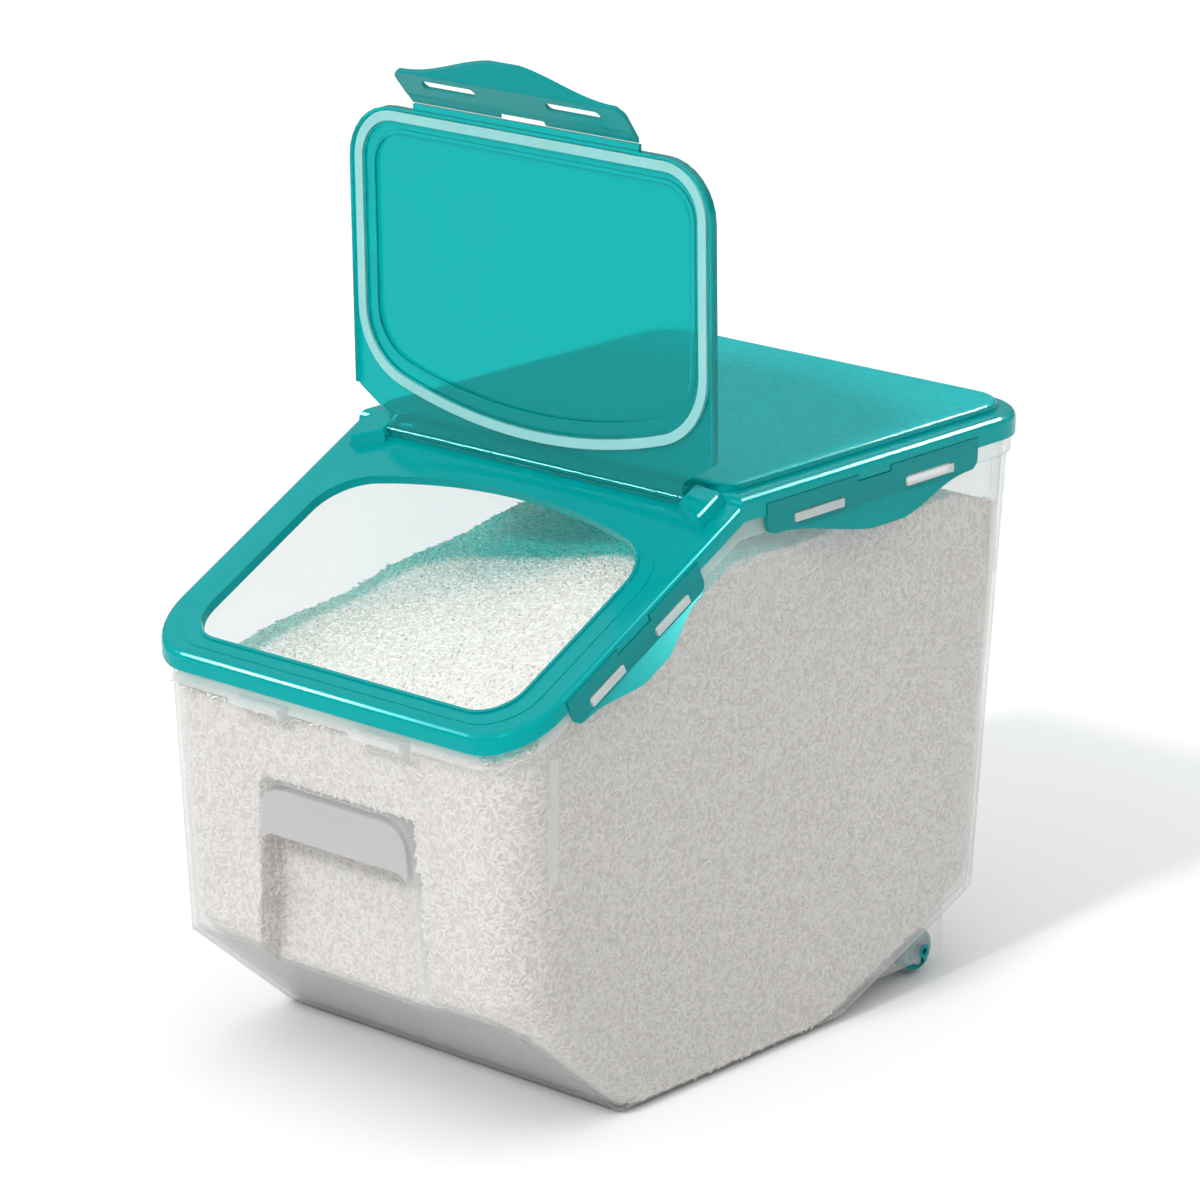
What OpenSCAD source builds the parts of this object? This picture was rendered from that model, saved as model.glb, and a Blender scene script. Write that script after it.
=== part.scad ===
// Rice bin with a sloping front, a clip-on lid frame and a flip-up door.
// Millimetres. X is across, the front faces -Y, Z is up, and the origin is on the base.

/* [Lid outline] */
// Width of the lid's skirt
lid_w = 235; // [215:1:255]
// Length of the lid's skirt from front to rear
lid_l = 367; // [350:1:390]
// Corner radius of the skirt seen from above
lid_r = 29; // [24:1:34]
// Wall of the lid mouldings
lid_wall = 1.8; // [1.5:0.1:2]
// Height of the skirt's lower edge over the level rear part
rear_line = 265; // [255:1:275]
// Height of the skirt's lower edge at the very front
front_line = 188; // [180:1:196]
// Distance of the crest in front of the middle
crest_fwd = 34; // [28:1:40]

/* [Lid section] */
// Rise of the sloping top over the skirt's edge
slope_top = 8.3; // [7.8:0.1:9]
// Rise of the level ledge over the skirt's edge
ledge_top = 11.5; // [11:0.1:12.5]
// Rise of the raised rear panel over the skirt's edge
panel_top = 15.5; // [14.5:0.1:17]
// Inset of the raised rear panel from the skirt
panel_inset = 9; // [8:0.5:11]
// Corner radius of the raised rear panel
panel_r = 20; // [16:1:24]
// Shoulder radius along the sloping part
slope_shoulder = 3; // [2:0.5:3]
// Shoulder radius round the level part
ledge_shoulder = 4.5; // [3:0.5:5]
// Depth of the locating tongue under the skirt's edge
tongue_drop = 2; // [1:0.5:4]

/* [Opening and its seal] */
// Half width of the opening in the slope
open_half_w = 96.5; // [92:0.5:98]
// Radius of the arched rear edge of the opening
arch_r = 268; // [240:1:300]
// Corner radius where the arch meets the sides
arch_corner_r = 34; // [30:1:38]
// Corner radius at the front of the seal
seal_front_r = 22; // [20:1:26]
// Half width of the door seal's centre line
seal_half_w = 103.7; // [103:0.1:104.2]
// Width of the door seal
seal_w = 4.6; // [4:0.1:4.8]
// Thickness of the door seal
seal_t = 1.9; // [1.6:0.1:1.9]
// Width of the raised bead round the opening
bead_w = 1.5; // [1.2:0.1:1.6]

/* [Flip door] */
// Half width of the door
door_half_w = 109.2; // [108.5:0.1:110]
// Distance of the door's front edge behind the lid's front edge, down the slope
door_front_gap = 3.4; // [3:0.1:5]
// Corner radius at the front of the door
door_r = 27; // [24:1:30]
// Thickness of the door plate
door_t = 2; // [1.8:0.1:2.2]
// Depth of the rim under the door plate
door_rim = 2; // [1.6:0.1:2.1]
// Height of the outward step of the door's middle panel
door_step = 1.5; // [1:0.1:2]
// Angle between the shut door and the open door
door_open = 116; // [100:1:120]
// Radius of the hinge pins
pin_r = 2; // [1.8:0.1:2.2]
// Running clearance between the hinge pins and their bores
pin_gap = 0.05; // [0.03:0.01:0.08]

/* [Latches] */
// Wall of the latch flaps
latch_t = 1.8; // [1.5:0.1:1.8]
// Gap that stands for the thin hinge web of a latch
web_gap = 0.3; // [0.3:0.05:0.5]
// Half length of the two rear side latches
rear_latch_half = 76.5; // [70:0.5:80]
// Distance of the rear side latches before the lid's rear edge
rear_latch_fwd = 125.6; // [120:0.1:130]
// Depth of the rear side latches at their bow
rear_latch_drop = 24; // [20:0.5:27]
// Half length of the two latches on the slope
slope_latch_half = 48; // [44:0.5:50]
// Distance of the slope latches behind the lid's front edge, up the slope
slope_latch_back = 80.4; // [77:0.1:84]
// Depth of the slope latches at their bow
slope_latch_drop = 21; // [18:0.5:23]
// Half width of the front latch at its hinge
front_latch_half = 68; // [64:0.5:70]
// Depth of the front latch at its bow
front_latch_drop = 31; // [28:0.5:35]
// Angle of the front latch to the door while it hangs free
front_latch_rest = 37; // [30:1:42]
// Angle between the front latch hanging free and clipped shut
front_latch_shut = 12; // [11.5:0.5:13]

/* [Bin] */
// Wall of the bin
wall = 2.2; // [1.8:0.1:2.4]
// Inward lean of each side wall for one unit of height
side_lean = 0.02; // [0.015:0.001:0.022]
// Inward lean of the front wall for one unit of height
nose_lean = 0.05; // [0.04:0.005:0.055]
// Inward lean of the rear wall for one unit of height
rear_lean = 0.066; // [0.05:0.002:0.07]
// Corner radius of the upright corners
body_r = 25; // [20:1:28]
// Fillet between the sides and the underside
base_fillet = 9; // [6:0.5:12]
// Height of the crease under the front wall
crease_z = 62; // [55:1:70]
// Distance of the base's front edge behind the lid's front edge
base_front_gap = 83.5; // [76:0.5:92]
// Distance of the base's rear edge before the lid's rear edge
base_rear_gap = 131.5; // [124:0.5:139]
// Height of the heel under the rear wall
heel_z = 44; // [40:1:48]

/* [Handle recess] */
// Half width of the recess at the crease
grip_half_w = 49.5; // [45:0.5:54]
// Narrowing of each side of the recess for one unit of height
grip_taper = 0.086; // [0.06:0.002:0.1]
// Depth of the recess behind the front wall
grip_depth = 12; // [10:0.5:16]
// Height of the lower edge of the grip lip
grip_low = 120; // [112:1:124]
// Height of the top of the finger pocket behind the lip
grip_high = 142; // [138:1:150]
// Corner radius of the lip's lower edge
grip_low_r = 7; // [5:0.5:9]
// Corner radius at the top of the finger pocket
grip_top_r = 13; // [8:0.5:15]

/* [Wheels] */
// Radius of the wheels
wheel_r = 10.35; // [9.5:0.05:10.8]
// Thickness of the wheels
wheel_t = 10; // [8:0.5:11]
// Distance of the wheel axis before the lid's rear edge
wheel_fwd = 56.6; // [54:0.1:61]
// Height of the wheel axis over the floor
wheel_z = 12.5; // [12:0.1:13.5]
// Distance of each wheel's outer face inside the lid's side edge
wheel_inset = 22.2; // [20.5:0.1:25.5]
// Radius of the stub axles
stub_r = 3.4; // [3:0.1:3.6]
// Running clearance between a stub axle and its bore
stub_gap = 0.06; // [0.03:0.01:0.09]

/* [Hidden] */

$fn = 64;
teal = [0, 0.67, 0.65, 0.85];
clear_plastic = [0.9, 0.91, 0.9, 0.4];
silicone = [0.65, 0.86, 0.84];

// Far is longer than any cut needs, and eps lets joined shapes overlap a little.
far = 500;
eps = 0.2;

// The slope of the lid
crest_y = -crest_fwd;
slope_run = lid_l/2 - crest_fwd;
rise = (rear_line - front_line)/slope_run;
slope = atan(rise);
shoulder_steps = 5;
base_front = lid_l/2 - base_front_gap;
base_rear = lid_l/2 - base_rear_gap;
wheel_x = lid_w/2 - wheel_inset;
wheel_y = lid_l/2 - wheel_fwd;
ceiling = [slope_top - lid_wall/cos(slope), ledge_top - lid_wall];
ceiling_chamfer = 1.4;

// The hinge line of the door stands clear of the slope by the door's rim
rim_clear = 0.4;
hinge_rise = slope_top*cos(slope) + door_rim + door_t/2 + rim_clear;
hinge_back = 9;
hinge_y = crest_y - hinge_back;
hinge_z = rear_line - hinge_back*rise + hinge_rise/cos(slope);
top_h = slope_top*cos(slope) - hinge_rise;
seat_h = -door_t/2 - seal_t - 0.1;
bead_h = seat_h + 0.9;
collar_low_h = top_h - lid_wall - 1.5;
front_edge_v = (slope_run - hinge_back)/cos(slope);
door_reach = front_edge_v - door_front_gap;

// Outline of the door seal, measured down the slope from the hinge line
seal_front = door_reach - 4.1;
seal_rear = 13.7;
bead_gap = 0.2;
open_front = seal_front - seal_w/2 - bead_gap - bead_w;
open_rear = seal_rear + seal_w/2 + bead_gap + bead_w;
seat_margin = 0.6;

// Hinge housings and the clipped corners of the door that pass them
knuckle_x = 90;
pin_len = 7;
housing_out = 108;
housing_gap = 0.4;
clip_v = 19.6;
housing_h = 2.5;
housing_back = 10;
housing_draft = 1.3;
rim_start = clip_v + 0.9;

// Middle panel of the door
mid_half_w = 95;
mid_front = door_reach - 12.6;
mid_rear = seal_rear + 10;

// Side latches
latch_lift = 5.3;
latch_out = 0.6;
latch_strip = 14.5;
latch_bend = 14;
latch_corner_r = 5;
window_half = 12;
window_deep = 3;
rear_latch_y = lid_l/2 - rear_latch_fwd;
rear_latch_flare = 8;
slope_latch_v = front_edge_v - slope_latch_back;
slope_latch_flare = 6;
slot_low = 7.6;
slot_high = 12.9;
rear_slots = [22.5, 58, slot_low, slot_high];
slope_slots = [11.5, 36.6, slot_low, slot_high];
rib_gap = 0.7;
rib_proud = 0.9;
end_gap = 0.5;

// Front latch, and the place of its hinge when the door is shut
front_slot_u = 14.3;
front_slot_half = 2.7;
front_slots = [21.3, 53.5, front_slot_u - front_slot_half, front_slot_u + front_slot_half];
front_strip = 21;
front_bend = 20;
front_flare = 6;
front_window_half = 13.5;
front_relief = 0.3;
front_rib_gap = 1.1;
front_hinge_gap = 3.8;
front_hinge_v = door_reach + front_hinge_gap;
front_hinge_h = -door_t/2 - door_rim;
front_hinge_y = hinge_y - front_hinge_v*cos(slope) - front_hinge_h*sin(slope);
front_hinge_z = hinge_z - front_hinge_v*sin(slope) + front_hinge_h*cos(slope);
front_lean = 90 - slope - front_latch_rest - front_latch_shut;

// The bin's rim carries a flat gasket under the lid's ceiling
gasket_t = 2.3;
rim_top = ceiling - [gasket_t, gasket_t];
body_inset = 3.6;
flange_inset = 2.2;
flange_drop = 8.5;
flange_in = 5.6;
gasket_out = 3.4;
gasket_in = 6.2;
tongue_out = 7.6;
tongue_in = tongue_out + 1.6;

// Step between the sides of the handle recess and the pocket behind its lip
pocket_step = 0.3;

// Ears that hold the wheels
ear_t = 2.3;
ear_gap = 1;
ear_front = wheel_y - 43;
ear_rear = wheel_y + 13.5;
ear_low = 8.4;
lobe_low = 6.8;
mouth_half = 2.6;

function unit(v) = v/norm(v);

// Points of an arc that replaces corner q of the path p, q, s
function round_corner(p, q, s, r, n) =
    r <= 0 ? [q] :
    let (
        a = unit(p - q),
        b = unit(s - q),
        half = acos(a*b)/2,
        c = q + unit(a + b)*r/sin(half),
        u0 = q + a*r/tan(half) - c,
        u1 = q + b*r/tan(half) - c,
        a0 = atan2(u0[1], u0[0]),
        sweep = ((atan2(u1[1], u1[0]) - a0 + 540) % 360) - 180
    )
    [for (i = [0:n]) c + r*[cos(a0 + sweep*i/n), sin(a0 + sweep*i/n)]];

// A polygon with one radius for each of its corners
function rounded(pts, radii, n = 8) =
    let (m = len(pts))
    [for (i = [0:m - 1]) each round_corner(pts[(i + m - 1) % m], pts[i], pts[(i + 1) % m], radii[i], n)];

function arc(cx, cy, r, a0, a1, n = 10) =
    [for (i = [0:n]) [cx + r*cos(a0 + (a1 - a0)*i/n), cy + r*sin(a0 + (a1 - a0)*i/n)]];

// A convex counter-clockwise polygon with every side moved in by t
function inset_poly(pts, t) =
    let (m = len(pts))
    [for (i = [0:m - 1])
        let (
            e0 = unit(pts[i] - pts[(i + m - 1) % m]),
            e1 = unit(pts[(i + 1) % m] - pts[i]),
            n0 = [-e0[1], e0[0]],
            n1 = [-e1[1], e1[0]]
        )
        pts[i] + t*(n0 + n1)/(1 + n0*n1)];

// Outline with a straight front, straight sides and an arched rear, front towards -Y
function arch_outline(half_w, rear, front, big_r, side_r, front_r) =
    let (
        cx = half_w - side_r,
        reach = sqrt(pow(big_r - side_r, 2) - cx*cx),
        cv = rear + big_r - reach,
        fan = asin(cx/(big_r - side_r))
    )
    concat(
        arc(0, -rear - big_r, big_r, 90 - fan, 90 + fan, 20),
        arc(-cx, -cv, side_r, 90 + fan, 180),
        arc(-half_w + front_r, -front + front_r, front_r, 180, 270),
        arc(half_w - front_r, -front + front_r, front_r, 270, 360),
        arc(cx, -cv, side_r, 0, 90 - fan)
    );

function seal_outline(grow) =
    arch_outline(seal_half_w + grow, seal_rear - grow, seal_front + grow, arch_r + grow,
        arch_corner_r + grow, seal_front_r + grow);

function open_outline(grow) =
    arch_outline(open_half_w + grow, open_rear - grow, open_front + grow, arch_r + grow,
        arch_corner_r - 6 + grow, seal_front_r - 3 + grow);

function mid_outline(grow) =
    arch_outline(mid_half_w + grow, mid_rear - grow, mid_front + grow, arch_r + grow,
        arch_corner_r - 8 + grow, seal_front_r - 6 + grow);

// The lid's outline seen from above, moved in by a distance
module plan(inset) {
    w = lid_w/2 - inset;
    l = lid_l/2 - inset;
    r = lid_r - inset;
    polygon(rounded([[w, l], [-w, l], [-w, -l], [w, -l]], [r, r, r, r], 12));
}

// Everything under the lid's side line, raised by a [slope, rear] pair of lifts
module below(lift) {
    top = rear_line + lift[1];
    turn = -lid_l/2 + (top - front_line - lift[0])/rise;
    rotate([90, 0, 90])
        linear_extrude(height = far, center = true)
            polygon([
                [-lid_l, -far],
                [lid_l, -far],
                [lid_l, top],
                [turn, top],
                [-lid_l, front_line + lift[0] - rise*lid_l/2]
            ]);
}

// The part of the plan under a lift
module layer(inset, lift) {
    intersection() {
        linear_extrude(height = far) plan(inset);
        below(lift);
    }
}

// A ring between two insets and two lifts
module band(outer, inner, low, high) {
    difference() {
        layer(outer, high);
        linear_extrude(height = far) plan(inner);
        below(low);
    }
}

// The frame of the shut door: Y runs up the slope and Z stands off it, from the hinge line
module slope_frame() {
    translate([0, hinge_y, hinge_z]) rotate([slope, 0, 0]) children();
}

module slope_plate(low, high) {
    translate([0, 0, low]) linear_extrude(height = high - low) children();
}

// Rounded shoulders over the whole lid
module cap_shape() {
    hull()
        for (i = [0:shoulder_steps]) {
            a = 90*i/shoulder_steps;
            lift = slope_top - slope_shoulder*(1 - sin(a));
            layer(slope_shoulder*(1 - cos(a)), [lift, lift]);
        }
}

// The higher ledge behind the crest
module ledge_shape() {
    hull()
        for (i = [0:shoulder_steps]) {
            a = 90*i/shoulder_steps;
            inset = ledge_shoulder*(1 - cos(a));
            lift = ledge_top - ledge_shoulder*(1 - sin(a));
            intersection() {
                layer(inset, [far, lift]);
                translate([-far/2, crest_y - 2 + inset, rear_line - 4]) cube([far, far, far]);
            }
        }
}

// Outline of the raised rear panel
module panel_outline(inset) {
    w = lid_w/2 - panel_inset - inset;
    rear = lid_l/2 - panel_inset - inset;
    front = crest_y + inset;
    r = panel_r - inset;
    polygon(rounded([[w, rear], [-w, rear], [-w, front], [w, front]], [r, r, r/2, r/2]));
}

module panel_shape() {
    edge_r = 3;
    hull()
        for (i = [0:shoulder_steps]) {
            a = 90*i/shoulder_steps;
            translate([0, 0, rear_line + ledge_top - 2])
                linear_extrude(height = panel_top - ledge_top + 2 - edge_r*(1 - sin(a)))
                    panel_outline(edge_r*(1 - cos(a)));
        }
}

// Space inside the lid, open downward
module lid_hollow() {
    hull() {
        layer(lid_wall, ceiling - [ceiling_chamfer, ceiling_chamfer]);
        layer(lid_wall + ceiling_chamfer, ceiling);
    }
    translate([0, 0, rear_line])
        linear_extrude(height = panel_top - lid_wall) panel_outline(lid_wall);
}

// Outline of a hinge housing seen down its height, grown by a distance
module housing_outline(grow) {
    front_in = pin_r + 2.5;
    front_out = clip_v - 4;
    offset(delta = grow)
        polygon(rounded(
            [[knuckle_x, -front_in], [housing_out, -front_out], [housing_out, housing_back - 2],
                [knuckle_x, housing_back]],
            [1, 3, 4, 1], 4));
}

// Drafted housings, with bores for the door's pins through their inner faces
module hinge_housings() {
    layers = [[top_h - 1, housing_draft], [-door_t/2, 0], [housing_h - 0.8, -0.9], [housing_h, -1.7]];
    for (side = [0, 1])
        mirror([side, 0, 0])
            difference() {
                hull()
                    for (level = layers)
                        slope_plate(level[0], level[0] + 0.01) housing_outline(level[1]);
                translate([0, -far/2, -far/2]) cube([knuckle_x + housing_gap, far, far]);
                translate([knuckle_x - 1, 0, 0])
                    rotate([0, 90, 0]) cylinder(r = pin_r + pin_gap, h = pin_len + 2);
            }
}

// Notch in the skirt where a side latch hangs, round the tab that fills the latch's window
module latch_notch(half) {
    tab_half = window_half - end_gap;
    tab_low = window_deep - end_gap;
    difference() {
        translate([lid_w/2 - lid_wall - 1, -half - end_gap, -far/4])
            cube([far/4, 2*(half + end_gap), far/4 + web_gap]);
        translate([0, -tab_half, -tab_low]) cube([far, 2*tab_half, far]);
    }
}

module rear_latch_frame() {
    translate([0, rear_latch_y, rear_line + latch_lift]) children();
}

module slope_latch_frame() {
    slope_frame()
        translate([0, -slope_latch_v, latch_lift*cos(slope) - hinge_rise]) children();
}

module lid_frame() {
    color(teal)
        difference() {
            union() {
                difference() {
                    union() {
                        cap_shape();
                        ledge_shape();
                        panel_shape();
                    }
                    below([0, 0]);
                    lid_hollow();
                }
                band(tongue_out, tongue_in, [-tongue_drop, -tongue_drop], ceiling + [eps, eps]);
                slope_frame() {
                    slope_plate(top_h - eps, seat_h) polygon(seal_outline(seal_w/2 + seat_margin));
                    slope_plate(collar_low_h, bead_h) polygon(open_outline(bead_w));
                    hinge_housings();
                }
            }
            slope_frame() slope_plate(-far/4, far/4) polygon(open_outline(0));
            for (side = [0, 1])
                mirror([side, 0, 0]) {
                    rear_latch_frame() latch_notch(rear_latch_half);
                    slope_latch_frame() latch_notch(slope_latch_half);
                }
        }
}

module lid_gasket() {
    color(silicone) band(gasket_out, gasket_in, rim_top, ceiling);
}

// Outline of the door with the corners clipped past the hinge housings
module door_outline(inset) {
    w = door_half_w - inset;
    f = door_reach - inset;
    r = door_r - inset;
    polygon(rounded(
        [[w, -clip_v], [knuckle_x, -pin_r - 5.5], [knuckle_x, 0], [-knuckle_x, 0],
            [-knuckle_x, -pin_r - 5.5], [-w, -clip_v], [-w, -f], [w, -f]],
        [4, 3, 0, 0, 3, 4, r, r]));
}

// The door as it lies when shut
module door_shape() {
    difference() {
        union() {
            slope_plate(-door_t/2, door_t/2) door_outline(0);
            slope_plate(0, door_t/2 + door_step) polygon(mid_outline(lid_wall));
            intersection() {
                slope_plate(front_hinge_h, 0)
                    difference() {
                        door_outline(0);
                        door_outline(1.4);
                    }
                translate([-far/2, -far - rim_start, -far/2]) cube([far, far, far]);
            }
            slope_plate(-door_t/2 - 0.9, 0)
                difference() {
                    polygon(seal_outline(-seal_w/2 - 0.2));
                    polygon(seal_outline(-seal_w/2 - 1.1));
                }
            rotate([0, 90, 0]) cylinder(r = pin_r, h = 2*(knuckle_x + pin_len), center = true);
            translate([-front_latch_half, -front_hinge_v + web_gap, front_hinge_h])
                cube([2*front_latch_half, front_hinge_gap + eps - web_gap, lid_wall]);
        }
        slope_plate(-far/4, door_t/2 + door_step - lid_wall) polygon(mid_outline(0));
    }
}

module open_door() {
    translate([0, hinge_y, hinge_z]) rotate([slope - door_open, 0, 0]) children();
}

module flip_door() {
    color(teal) open_door() door_shape();
}

module door_gasket() {
    color(silicone)
        open_door()
            slope_plate(-door_t/2 - seal_t, -door_t/2)
                difference() {
                    polygon(seal_outline(seal_w/2));
                    polygon(seal_outline(-seal_w/2));
                }
}

// Half of a slot, given its near and far ends and its lower and upper edge
module slot_pair(near, away, low, high) {
    r = (high - low)/2 - 0.4;
    for (side = [-1, 1])
        translate([side*(near + away)/2, -(low + high)/2])
            polygon(rounded(
                [for (c = [[1, 1], [-1, 1], [-1, -1], [1, -1]])
                    [c[0]*(away - near)/2, c[1]*(high - low)/2]],
                [r, r, r, r], 4));
}

// Flap outline, hanging towards -Y: a strip whose lower edge swells to a bow in the middle
module flap_outline(half_top, half, strip, drop, window, slots) {
    r = latch_corner_r;
    flat = half - r;
    n = 32;
    bow = [for (i = [1:n - 1]) let (x = flat*(2*i/n - 1)) [x, -strip - (drop - strip)*pow(cos(90*x/flat), 2)]];
    difference() {
        polygon(concat(
            [[half_top, 0], [-half_top, 0]],
            arc(-flat, r - strip, r, 180, 270, 6),
            bow,
            arc(flat, r - strip, r, 270, 360, 6)
        ));
        translate([-window, -window_deep]) square([2*window, window_deep + 1]);
        slot_pair(slots[0], slots[1], slots[2], slots[3]);
    }
}

// How far a flared face moves down past its bend for the flap's wall
function flare_lap(bend, drop, flare) =
    let (k = flare/(drop - bend)) latch_t*(sqrt(1 + k*k) - 1)/k;

// A hanging flap with its inner face at X = 0: straight from its top edge to the bend, then flared
module flap(half_top, half, strip, drop, bend, flare, window, slots, top_edge) {
    lap = flare_lap(bend, drop, flare);
    intersection() {
        rotate([90, 0, 0])
            linear_extrude(height = far, center = true)
                polygon(concat(
                    [[0, -bend - lap], [flare, -drop - lap], [flare + latch_t, -drop + lap], [latch_t, -bend]],
                    top_edge
                ));
        rotate([90, 0, 90])
            translate([0, 0, -far/4])
                linear_extrude(height = far/2)
                    flap_outline(half_top, half, strip, drop, window, slots);
    }
}

// Side flaps turn about their outer top edge
module side_flap(half, slots, drop, flare) {
    translate([lid_w/2 + latch_out - latch_t, 0, 0])
        flap(half, half, latch_strip, drop, latch_bend, flare, window_half, slots,
            [[latch_t, 0], [latch_t/3, 0], [0, -latch_t/3]]);
}

module rear_latch(side) {
    color(teal)
        mirror([side, 0, 0])
            rear_latch_frame() side_flap(rear_latch_half, rear_slots, rear_latch_drop, rear_latch_flare);
}

module slope_latch(side) {
    color(teal)
        mirror([side, 0, 0])
            slope_latch_frame() side_flap(slope_latch_half, slope_slots, slope_latch_drop, slope_latch_flare);
}

// The front flap turns about its inner top edge, where its inner face is relieved to pass the skirt
module front_latch() {
    top = latch_t/4;
    color(teal)
        open_door()
            translate([0, -front_hinge_v, front_hinge_h])
                rotate([front_latch_rest - 90, 0, 0])
                    rotate([0, 0, -90])
                        translate([0, 0, -web_gap])
                            flap(front_latch_half, front_latch_half + 1, front_strip, front_latch_drop,
                                front_bend, front_flare, front_window_half, front_slots,
                                [[latch_t, -latch_t], [front_relief + top, 0], [front_relief, 0],
                                    [front_relief, -front_bend/5], [0, -front_bend/3]]);
}

// The bin's side view, as [Y, Z] points
function body_side() =
    let (
        top = rear_line + 60,
        front = -lid_l/2 + body_inset,
        rear = lid_l/2 - body_inset
    )
    [
        [-base_front, 0],
        [base_rear, 0],
        [rear - rear_lean*(rear_line - heel_z), heel_z],
        [rear + rear_lean*(top - rear_line), top],
        [front - nose_lean*(top - front_line), top],
        [front + nose_lean*(front_line - crease_z), crease_z]
    ];

// Half width of the bin at a height
function side_x(z) = lid_w/2 - body_inset - side_lean*(rear_line - z);
function front_y(z) = -lid_l/2 + body_inset + nose_lean*(front_line - z);
function rear_y(z) = lid_l/2 - body_inset - rear_lean*(rear_line - z);

// One underside face as a trough with rounded lower corners, its sides spread clear of the walls
module trough(p, q, inset, spread) {
    low = side_x((p[1] + q[1])/2) + 0.1 - inset;
    high = low + far*spread;
    r = base_fillet - inset/2;
    translate([0, p[0], p[1]])
        rotate([90 + atan2(q[1] - p[1], q[0] - p[0]), 0, 0])
            linear_extrude(height = 2*far, center = true)
                polygon(rounded([[-low, inset], [low, inset], [high, far], [-high, far]], [r, r, 0, 0], 8));
}

// What an upright corner loses to its radius
module corner_cut(y, lean, inset) {
    r = body_r - inset;
    x = side_x(rear_line) - inset;
    translate([x, y, rear_line])
        rotate([-lean, atan(side_lean), 0])
            translate([0, 0, -far])
                linear_extrude(height = 2*far)
                    polygon(concat([[2, 2], [-r, 2]], arc(-r, -r, r + 0.04, 90, 0, 12), [[2, -r]]));
}

// The bin as a block, with every face moved in by a distance
module body_block(inset) {
    pts = body_side();
    top = pts[3][1];
    radii = [20, 20, 10, 0, 0, 8];
    difference() {
        intersection() {
            rotate([90, 0, 90])
                linear_extrude(height = far, center = true)
                    polygon(rounded(inset_poly(pts, inset), [for (r = radii) max(0, r - inset)], 6));
            rotate([90, 0, 0])
                linear_extrude(height = far, center = true)
                    polygon([
                        [-side_x(-5) + inset, -5], [side_x(-5) - inset, -5],
                        [side_x(top) - inset, top], [-side_x(top) + inset, top]
                    ]);
            trough(pts[0], pts[1], inset, 1.1*side_lean);
            trough(pts[1], pts[2], inset, 3*side_lean);
            trough(pts[5], pts[0], inset, 3*side_lean);
        }
        for (side = [0, 1])
            mirror([side, 0, 0]) {
                mirror([0, 1, 0]) corner_cut(-front_y(rear_line) - inset, atan(nose_lean), inset);
                corner_cut(rear_y(rear_line) - inset, atan(rear_lean), inset);
            }
    }
}

// The frame of the front wall: Z runs up the wall's face and Y runs inward
module front_wall_frame() {
    translate([0, front_y(0), 0]) rotate([atan(nose_lean), 0, 0]) children();
}

// Outline of the handle recess up to a height, grown by a distance
module grip_outline(high, grow, r) {
    low = crease_z - 45;
    w_low = grip_half_w + grip_taper*(crease_z - low) + grow;
    w_high = grip_half_w - grip_taper*(high - crease_z) + grow;
    polygon(rounded([[w_low, low], [w_high, high + grow], [-w_high, high + grow], [-w_low, low]],
        [0, r + grow, r + grow, 0]));
}

module grip_prism(high, grow, r, from, to) {
    front_wall_frame()
        translate([0, to, 0])
            rotate([90, 0, 0])
                linear_extrude(height = to - from) grip_outline(high, grow, r);
}

// Bars that the latch slots snap over
module side_ribs(near, away) {
    for (side = [-1, 1])
        translate([lid_w/2 - flange_inset - 2, side*(near + away)/2 - (away - near)/2 + rib_gap,
                -slot_high + rib_gap])
            cube([2 + flange_inset + latch_out + rib_proud, away - near - 2*rib_gap,
                slot_high - slot_low - 2*rib_gap]);
}

// Two bars that pass through the front latch when it is clipped, each with a moulding knob below
module front_ribs() {
    depth = front_slot_u + web_gap;
    near = front_slots[0] + rib_gap;
    away = front_slots[1] - rib_gap;
    high = 2*(front_slot_half - front_rib_gap);
    z = front_hinge_z - depth*cos(front_lean) - high/2;
    tip = front_hinge_y - depth*sin(front_lean) - latch_t/cos(front_lean) - rib_proud;
    root = -lid_l/2 + flange_inset + eps;
    knob = 5;
    for (side = [-1, 1])
        translate([side*(near + away)/2 - (away - near)/2, 0, z]) {
            translate([0, tip, 0]) cube([away - near, root - tip, high]);
            translate([away - near - knob - 2, root - knob + 2, -knob + 1.5]) cube([knob, knob, knob]);
        }
}

// Narrow stiffening ribs by the upright corners
module corner_ribs() {
    rib_w = 5.5;
    proud = 0.8;
    root = 1;
    front_low = front_line - 62;
    rear_low = rear_line - 65;
    top_gap = 4;
    for (side = [0, 1])
        mirror([side, 0, 0]) {
            translate([side_x(front_low) - root, -lid_l/2 + body_r + 1, front_low])
                rotate([0, atan(side_lean), 0]) cube([root + proud, rib_w, front_line - front_low - top_gap]);
            translate([side_x(rear_low) - root, lid_l/2 - body_r - 8, rear_low])
                rotate([0, atan(side_lean), 0])
                    cube([root + proud, rib_w, rear_line - flange_drop - rear_low - eps]);
        }
}

function under_z(y) = heel_z*(y - base_rear)/(rear_y(heel_z) - base_rear);

module ear(x) {
    translate([x, 0, 0])
        rotate([90, 0, 90])
            linear_extrude(height = ear_t)
                difference() {
                    polygon([
                        [ear_front, ear_low], [wheel_y - 6.5, ear_low], [wheel_y - 5.5, lobe_low],
                        [ear_rear - 3.8, lobe_low], [ear_rear, ear_low + 0.9],
                        [ear_rear, under_z(ear_rear) + 1], [ear_front, under_z(ear_front) + 1]
                    ]);
                    translate([wheel_y, wheel_z]) circle(r = stub_r + stub_gap);
                    translate([wheel_y - mouth_half, 0]) square([2*mouth_half, wheel_z]);
                }
}

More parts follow.
